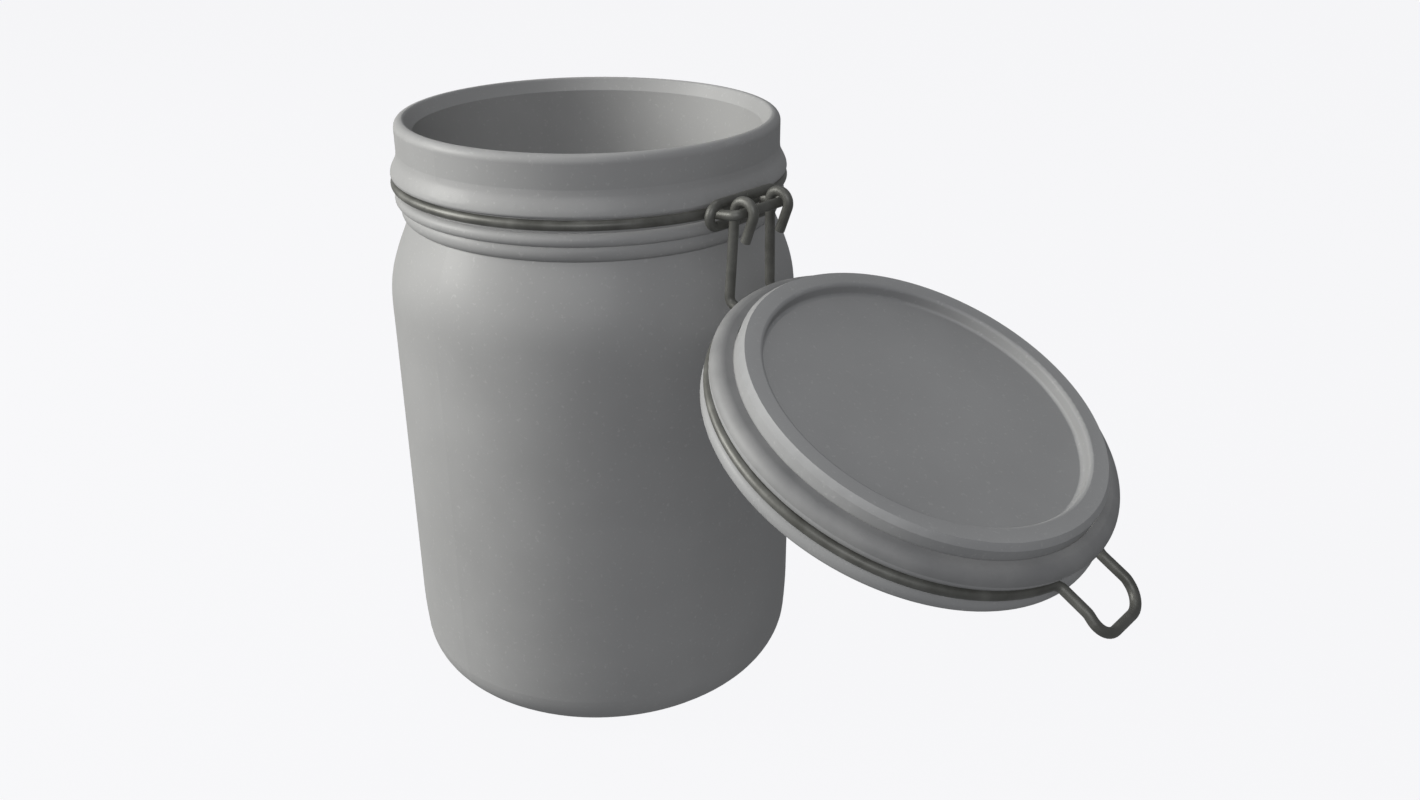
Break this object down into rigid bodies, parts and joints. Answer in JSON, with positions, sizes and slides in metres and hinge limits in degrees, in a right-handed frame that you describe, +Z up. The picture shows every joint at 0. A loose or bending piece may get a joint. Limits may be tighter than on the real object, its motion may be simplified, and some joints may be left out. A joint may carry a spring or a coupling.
{
  "type": "bail clamp jar",
  "caption": "Round preserving jar with a clip-top lid swung open on a rear wire hinge, sealing gasket and a front wire clamp.",
  "frame": {"origin": "centre of the jar's foot, on the plane it stands on", "axes": "+Z up along the jar's axis, +Y towards the rear hinge, -Y towards the front clamp, X along the hinge axis"},
  "size_m": [0.11, 0.2242, 0.161],
  "materials": {
    "jar_glass": "satin",
    "lid_glass": "satin",
    "gasket_rubber": "matt",
    "steel_wire": "drawn wire, satin"
  },
  "bodies": {
    "jar": {"jar_body": "jar_glass", "neck_wire": "steel_wire", "lever_eyes": "steel_wire", "hinge_frame": "steel_wire"},
    "lid": {"lid": "lid_glass", "gasket": "gasket_rubber", "lid_wire": "steel_wire"},
    "lever": {"clamp_lever": "steel_wire"},
    "link": {"latch_link": "steel_wire"}
  },
  "joints": [
    {"name": "lid_hinge", "type": "hinge", "parent": "jar", "child": "lid", "pos_m": [0, 0.0591, 0.14585], "axis": [1, 0, 0], "range_deg": [0, 203.5]},
    {"name": "lever_hinge", "type": "hinge", "parent": "jar", "child": "lever", "pos_m": [0, -0.0546, 0.14485], "axis": [-1, 0, 0], "range_deg": [0, 150]},
    {"name": "link_hinge", "type": "hinge", "parent": "lever", "child": "link", "pos_m": [0, -0.053, 0.13585], "axis": [-1, 0, 0], "range_deg": [0, 45]}
  ]
}
